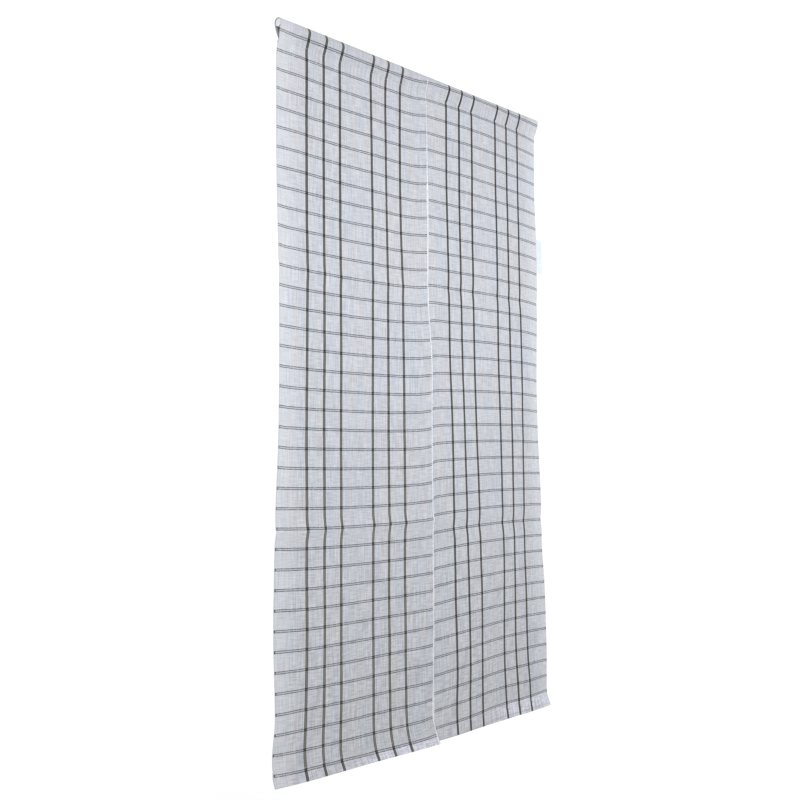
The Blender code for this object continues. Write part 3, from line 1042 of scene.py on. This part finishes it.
def ribbon_material():
    """Close white ribbon weave with a firmer edge on each side."""
    material, tree, shader = new_material("label_ribbon")
    place = cloth_place(tree)
    _across, _down, from_edge = three_parts(tree, place)
    weave = weave_of(tree, place, RIBBON_SPACING)
    tone = ramp(tree, weave["Slubs"], *RIBBON_TONE)
    colour = tint(tree, tone, RIBBON_DULL, RIBBON_BRIGHT)
    colour = tint(tree, ramp(tree, from_edge, *RIBBON_EDGE), colour, RIBBON_FIRM)
    feed(tree, shader.inputs["Base Color"], colour)
    feed(tree, shader.inputs["Roughness"], ramp(tree, weave["Height"], *RIBBON_ROUGHNESS))
    shader.inputs["Sheen Weight"].default_value = RIBBON_SHEEN
    bump(tree, shader, weave["Height"], RIBBON_DEPTH, RIBBON_STRENGTH)
    return material


label.data.materials.append(ribbon_material())
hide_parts("label")
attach(label, "root")

points = []
faces = []
behind = Vector((0.0, LABEL_BEHIND + LABEL / 2 + CLOTH / 2, 0.0))
lowest = LABEL_TOP_Z - LABEL_HEIGHT + LABEL_MARGIN
highest = LABEL_TOP_Z - LABEL_MARGIN - STITCH_LENGTH
for z in spread(lowest, highest, STITCH_PITCH):
    start = surface_point(RIGHT_PANEL, "front", PANEL_WIDTH - LABEL_SEAM, z)
    end = surface_point(RIGHT_PANEL, "front", PANEL_WIDTH - LABEL_SEAM, z + STITCH_LENGTH)
    thread_loop(points, faces, start, end, FORWARD)
    thread_loop(points, faces, end + behind, start + behind, BACKWARD)
sewn_piece("label_sewing", points, faces, WHITE_THREAD)


# The rod.
# A thin round steel tube in pale enamel, with closed flat ends and a soft rim. It is
# slipped through both pockets, and its ends lie level with the cloth's edges.
ROD_RADIUS = 8.0
ROD_LENGTH = 848.0
ROD_RIM = 0.7
END_RING = ROD_RADIUS * 0.6
ROD_SIDES = 48
RIM_STEPS = 4
SHARP_ANGLE = 50.0

profile = [(-ROD_LENGTH / 2, END_RING)]
for end, sign in ((-ROD_LENGTH / 2, 1), (ROD_LENGTH / 2, -1)):
    rim = []
    for i in range(RIM_STEPS + 1):
        turn = math.pi / 2 * i / RIM_STEPS
        inward = ROD_RIM * (1 - math.sin(turn))
        rim.append((end + sign * inward, ROD_RADIUS - ROD_RIM * (1 - math.cos(turn))))
    profile += rim[::-1] if sign > 0 else rim
profile += [(ROD_LENGTH / 2, END_RING)]
points = []
for x, radius in profile:
    for k in range(ROD_SIDES):
        turn = math.tau * k / ROD_SIDES
        points.append((x, radius * math.cos(turn), radius * math.sin(turn)))
faces = []
rings = len(profile)
for i in range(rings - 1):
    for k in range(ROD_SIDES):
        a = i * ROD_SIDES + k
        b = i * ROD_SIDES + (k + 1) % ROD_SIDES
        faces.append((a, b, b + ROD_SIDES, a + ROD_SIDES))
faces.append(tuple(range(ROD_SIDES - 1, -1, -1)))
faces.append(tuple((rings - 1) * ROD_SIDES + k for k in range(ROD_SIDES)))
rod = link_mesh("rod_tube", points, faces)
rod.data.set_sharp_from_angle(angle=math.radians(SHARP_ANGLE))

# The enamel's rubbing marks and its peel, with so many grains in a metre
RUBS = (40.0, 900.0, 900.0)
RUBS_DETAIL = 4.0
RUBS_TONE = (0.3, 0.7)
RUBS_ROUGHNESS = (0.3, 0.7, 0.5, 0.34)
PEEL = (500.0, 500.0, 500.0)
PEEL_DEPTH = 0.0001
PEEL_STRENGTH = 0.2
ENAMEL_DULL = (0.62, 0.65, 0.66, 1.0)
ENAMEL_BRIGHT = (0.76, 0.78, 0.79, 1.0)


def enamel_material():
    """Pale enamel over steel, with a faint orange peel and fine rubbing marks."""
    material, tree, shader = new_material("rod_enamel")
    spot = tree.nodes.new("ShaderNodeTexCoord")
    rubs = grain(tree, spot.outputs["Object"], RUBS, RUBS_DETAIL)
    peel = grain(tree, spot.outputs["Object"], PEEL)
    colour = tint(tree, ramp(tree, rubs, *RUBS_TONE), ENAMEL_DULL, ENAMEL_BRIGHT)
    feed(tree, shader.inputs["Base Color"], colour)
    feed(tree, shader.inputs["Roughness"], ramp(tree, rubs, *RUBS_ROUGHNESS))
    bump(tree, shader, peel, PEEL_DEPTH, PEEL_STRENGTH)
    return material


rod.data.materials.append(enamel_material())
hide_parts("rod")
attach(rod, "root")


# Floor and light.
# A plain pale floor as far under the hem as in a doorway, a long soft lamp in front
# of the upper half, and even white light from all round.
FLOOR_Z = -2.0
FLOOR_REACH = 30.0
FLOOR_CLOUDS = (3.0, 3.0, 3.0)
FLOOR_DULL = (0.93, 0.93, 0.93, 1.0)
FLOOR_BRIGHT = (0.97, 0.97, 0.97, 1.0)
FLOOR_ROUGHNESS = 0.9
SKY_COLOUR = (1.0, 1.0, 1.0, 1.0)
SKY_LIGHT = 1.07
LAMP_PLACE = (-0.1, -1.6, -0.42)
LAMP_TILT = 90.0
LAMP_SIZE = (2.6, 0.5)
LAMP_SPREAD = 120.0
LAMP_POWER = 12.0
LAMP_COLOUR = (0.95, 0.995, 1.09)

corners = [(-1, -1), (1, -1), (1, 1), (-1, 1)]
reach = FLOOR_REACH / MM
points = [(x * reach, y * reach, FLOOR_Z / MM) for x, y in corners]
floor = link_mesh("floor", points, [(0, 1, 2, 3)])
floor_material, tree, shader = new_material("pale_floor")
spot = tree.nodes.new("ShaderNodeTexCoord")
cloud = grain(tree, spot.outputs["Object"], FLOOR_CLOUDS)
feed(tree, shader.inputs["Base Color"], tint(tree, cloud, FLOOR_DULL, FLOOR_BRIGHT))
shader.inputs["Roughness"].default_value = FLOOR_ROUGHNESS
floor.data.materials.append(floor_material)

lamp_data = bpy.data.lights.new("lamp", "AREA")
lamp_data.shape = "RECTANGLE"
lamp_data.size = LAMP_SIZE[0]
lamp_data.size_y = LAMP_SIZE[1]
lamp_data.spread = math.radians(LAMP_SPREAD)
lamp_data.energy = LAMP_POWER
lamp_data.color = LAMP_COLOUR
lamp = bpy.data.objects.new("lamp", lamp_data)
lamp.location = LAMP_PLACE
lamp.rotation_euler = (math.radians(LAMP_TILT), 0.0, 0.0)
bpy.context.scene.collection.objects.link(lamp)

world = bpy.data.worlds.new("white_room")
world.use_nodes = True
sky = world.node_tree.nodes["Background"]
sky.inputs["Color"].default_value = SKY_COLOUR
sky.inputs["Strength"].default_value = SKY_LIGHT
bpy.context.scene.world = world
bpy.context.scene.view_settings.view_transform = "Standard"
